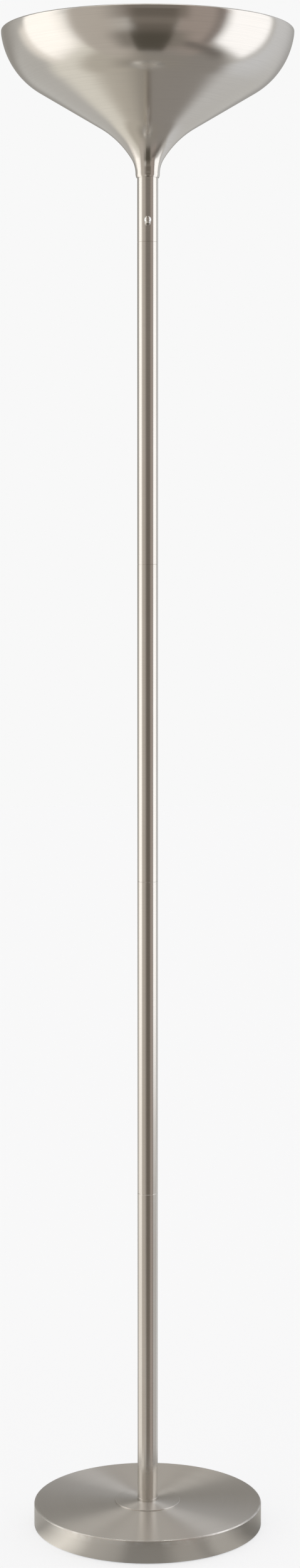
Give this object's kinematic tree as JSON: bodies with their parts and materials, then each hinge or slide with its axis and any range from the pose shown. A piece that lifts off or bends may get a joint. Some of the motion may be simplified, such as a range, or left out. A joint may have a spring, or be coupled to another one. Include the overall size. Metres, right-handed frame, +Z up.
{
  "type": "torchiere floor lamp",
  "caption": "Tall uplighter floor lamp: round weighted base, slim tubular pole with a ball-ended toggle switch, and a wide bowl shade that flares out of a narrow neck.",
  "frame": {"origin": "centre of the underside of the base, on the floor", "axes": "+Z up along the pole; the switch faces -Y and the cord inlet is at the back, +Y"},
  "size_m": [0.3485, 0.3486, 1.8148],
  "materials": {
    "satin_nickel": "fine circular brushing under satin nickel plating",
    "chrome": "polished",
    "zinc_steel": "bright zinc plating",
    "brass": "plain",
    "cap_nickel": "plain pressed",
    "cast_ballast": "cast concrete",
    "felt": "dense felt",
    "black_nylon": "satin moulding",
    "white_nylon": "satin moulding",
    "black_phenolic": "moulded",
    "ceramic": "unglazed",
    "white_housing": "moulded",
    "opal_diffuser": "opal",
    "green_lead": "extruded insulation",
    "brown_lead": "extruded insulation",
    "blue_lead": "extruded insulation"
  },
  "bodies": {
    "stand": {"foot_pad": "felt", "ballast": "cast_ballast", "base_shell": "satin_nickel", "cord_bush": "black_nylon", "cord_clamp": "white_nylon", "clamp_screws": "zinc_steel", "terminal_block": "white_nylon", "terminal_barrels": "brass", "base_nipple": "zinc_steel", "base_washer": "zinc_steel", "earth_tag": "brass", "lock_washer": "zinc_steel", "base_nut": "zinc_steel", "centre_disc": "satin_nickel", "foot_collar": "satin_nickel", "switch_tube": "satin_nickel", "switch_body": "black_phenolic", "switch_bush": "chrome", "switch_inner_nut": "zinc_steel", "switch_ring_nut": "chrome", "switch_lugs": "brass", "head_plug": "zinc_steel", "head_nipple": "zinc_steel", "shade_seat": "zinc_steel", "shade_nut": "zinc_steel", "shade": "satin_nickel", "lampholder_cap": "black_phenolic", "lampholder_shell": "black_phenolic", "lampholder_core": "ceramic", "screw_shell": "brass", "centre_contact": "brass", "earth_lead": "green_lead", "live_lead_lower": "brown_lead", "live_lead_upper": "brown_lead", "neutral_lead": "blue_lead", "pole_tube_1": "satin_nickel", "joint_spigot_1": "zinc_steel", "joint_socket_1": "zinc_steel", "pole_tube_2": "satin_nickel", "joint_spigot_2": "zinc_steel", "joint_socket_2": "zinc_steel", "pole_tube_3": "satin_nickel", "joint_spigot_3": "zinc_steel", "joint_socket_3": "zinc_steel", "pole_tube_4": "satin_nickel", "joint_spigot_4": "zinc_steel", "joint_socket_4": "zinc_steel"},
    "toggle": {"switch_lever": "chrome"},
    "bulb": {"bulb_contact": "zinc_steel", "bulb_insulator": "black_phenolic", "bulb_cap": "cap_nickel", "bulb_housing": "white_housing", "bulb_globe": "opal_diffuser"}
  },
  "joints": [
    {"name": "switch_toggle", "type": "hinge", "parent": "stand", "child": "toggle", "pos_m": [0, -0.0134, 1.5875], "axis": [1, 0, 0], "range_deg": [0, 25]},
    {"name": "bulb_unscrew", "type": "slide", "parent": "stand", "child": "bulb", "axis": [0, 0, 1], "range_m": [0, 0.025]}
  ]
}
